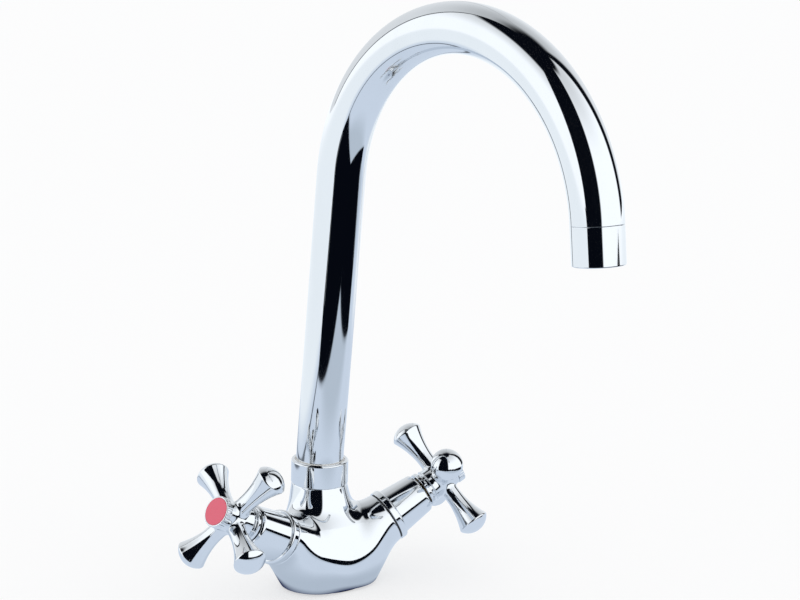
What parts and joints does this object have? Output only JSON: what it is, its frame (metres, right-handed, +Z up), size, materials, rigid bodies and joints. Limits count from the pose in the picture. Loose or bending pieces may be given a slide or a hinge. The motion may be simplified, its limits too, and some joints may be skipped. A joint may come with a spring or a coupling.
{
  "type": "kitchen faucet",
  "caption": "Deck mounted kitchen faucet with hot and cold cross handles on angled arms and a tall, slim swan neck spout that swivels.",
  "frame": {"origin": "centre of the foot, on the underside of its gasket where it meets the deck", "axes": "+Z up, -Y to the front where the user stands, -X to the hot side, on the user's left"},
  "size_m": [0.1523, 0.1943, 0.277],
  "materials": {
    "body_chrome": "polished chrome plate on cast brass",
    "nut_chrome": "polished chrome plate on brass",
    "spout_chrome": "polished chrome plate on drawn brass tube",
    "outlet_chrome": "polished chrome plate on brass",
    "collar_chrome": "polished chrome plate on brass",
    "sleeve_chrome": "polished chrome plate on brass",
    "handle_chrome": "polished chrome plate on cast zinc",
    "button_chrome": "polished chrome plate",
    "brass": "machined, bare",
    "spring_steel": "stainless, plain",
    "rubber": "black, matt",
    "slip_plastic": "white acetal, smooth",
    "aerator_plastic": "pale grey, smooth",
    "valve_ceramic": "lapped alumina",
    "index_red": "red, glossy, plain",
    "index_blue": "blue, glossy, plain"
  },
  "bodies": {
    "body": {"faucet_body": "body_chrome", "foot_gasket": "rubber", "spout_nut": "nut_chrome", "slip_ring": "slip_plastic", "hot_headwork": "brass", "hot_arm_gasket": "rubber", "hot_seat_seal": "rubber", "hot_fixed_disc": "valve_ceramic", "hot_collar": "collar_chrome", "hot_sleeve": "sleeve_chrome", "cold_headwork": "brass", "cold_arm_gasket": "rubber", "cold_seat_seal": "rubber", "cold_fixed_disc": "valve_ceramic", "cold_collar": "collar_chrome", "cold_sleeve": "sleeve_chrome"},
    "spout": {"spout_tube": "spout_chrome", "spout_foot": "brass", "spout_o_ring_lower": "rubber", "spout_o_ring_upper": "rubber", "spout_retainer": "spring_steel", "outlet_nipple": "brass", "outlet_sleeve": "outlet_chrome", "aerator_washer": "rubber", "aerator_insert": "aerator_plastic", "aerator_screen": "spring_steel"},
    "hot_tap": {"hot_handle": "handle_chrome", "hot_spindle": "brass", "hot_moving_disc": "valve_ceramic", "hot_spindle_o_ring": "rubber", "hot_spindle_clip": "spring_steel", "hot_handle_screw": "spring_steel", "hot_index_button": "button_chrome", "hot_index_disc": "index_red"},
    "cold_tap": {"cold_handle": "handle_chrome", "cold_spindle": "brass", "cold_moving_disc": "valve_ceramic", "cold_spindle_o_ring": "rubber", "cold_spindle_clip": "spring_steel", "cold_handle_screw": "spring_steel", "cold_index_button": "button_chrome", "cold_index_disc": "index_blue"}
  },
  "joints": [
    {"name": "spout_swivel", "type": "hinge", "parent": "body", "child": "spout", "pos_m": [0, 0.00615, 0.0467], "axis": [0, 0, 1], "continuous": true},
    {"name": "hot_turn", "type": "hinge", "parent": "body", "child": "hot_tap", "pos_m": [-0.05761, -0.01041, 0.04339], "axis": [-0.8625, -0.1289, 0.4894], "range_deg": [0, 180]},
    {"name": "cold_turn", "type": "hinge", "parent": "body", "child": "cold_tap", "pos_m": [0.05761, -0.01041, 0.04339], "axis": [-0.8625, 0.1289, -0.4894], "range_deg": [0, 180]}
  ]
}
